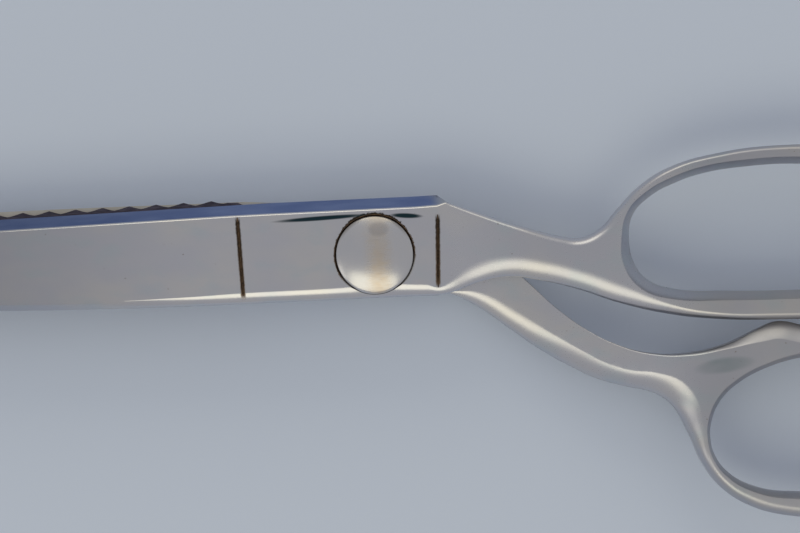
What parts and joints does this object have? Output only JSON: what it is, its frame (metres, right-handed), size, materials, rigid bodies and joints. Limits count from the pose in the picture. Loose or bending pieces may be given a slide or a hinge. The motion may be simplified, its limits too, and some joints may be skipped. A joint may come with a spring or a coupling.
{
  "type": "pinking shears",
  "caption": "Heavy all-metal pinking shears that cut a zigzag edge in fabric, with a domed pivot bolt, a large finger bow and a smaller thumb bow.",
  "frame": {"origin": "centre of the flat lower end of the pivot bolt, on the pivot axis", "axes": "+X from the pivot to the bows, -X to the blade tips, +Y to the cutting side of the upper blade, +Z along the pivot to the domed bolt head"},
  "size_m": [0.2292, 0.0695, 0.0167],
  "materials": {
    "plated_steel": "worn nickel plate, polished blades and satin handles",
    "bolt_steel": "polished steel with light staining",
    "nut_steel": "turned steel",
    "spring_steel": "dark tempered steel",
    "bushing_bronze": "plain turned bronze"
  },
  "bodies": {
    "finger_half": {"finger_blade": "plated_steel", "pivot_bolt": "bolt_steel", "bolt_key": "nut_steel", "spring_washer": "spring_steel", "pivot_nut": "nut_steel", "lock_screw": "nut_steel"},
    "thumb_half": {"thumb_blade": "plated_steel", "pivot_bushing": "bushing_bronze"}
  },
  "joints": [
    {"name": "pivot", "type": "hinge", "parent": "finger_half", "child": "thumb_half", "pos_m": [0, 0, 0.0092], "axis": [0, 0, -1], "range_deg": [0, 50]}
  ]
}
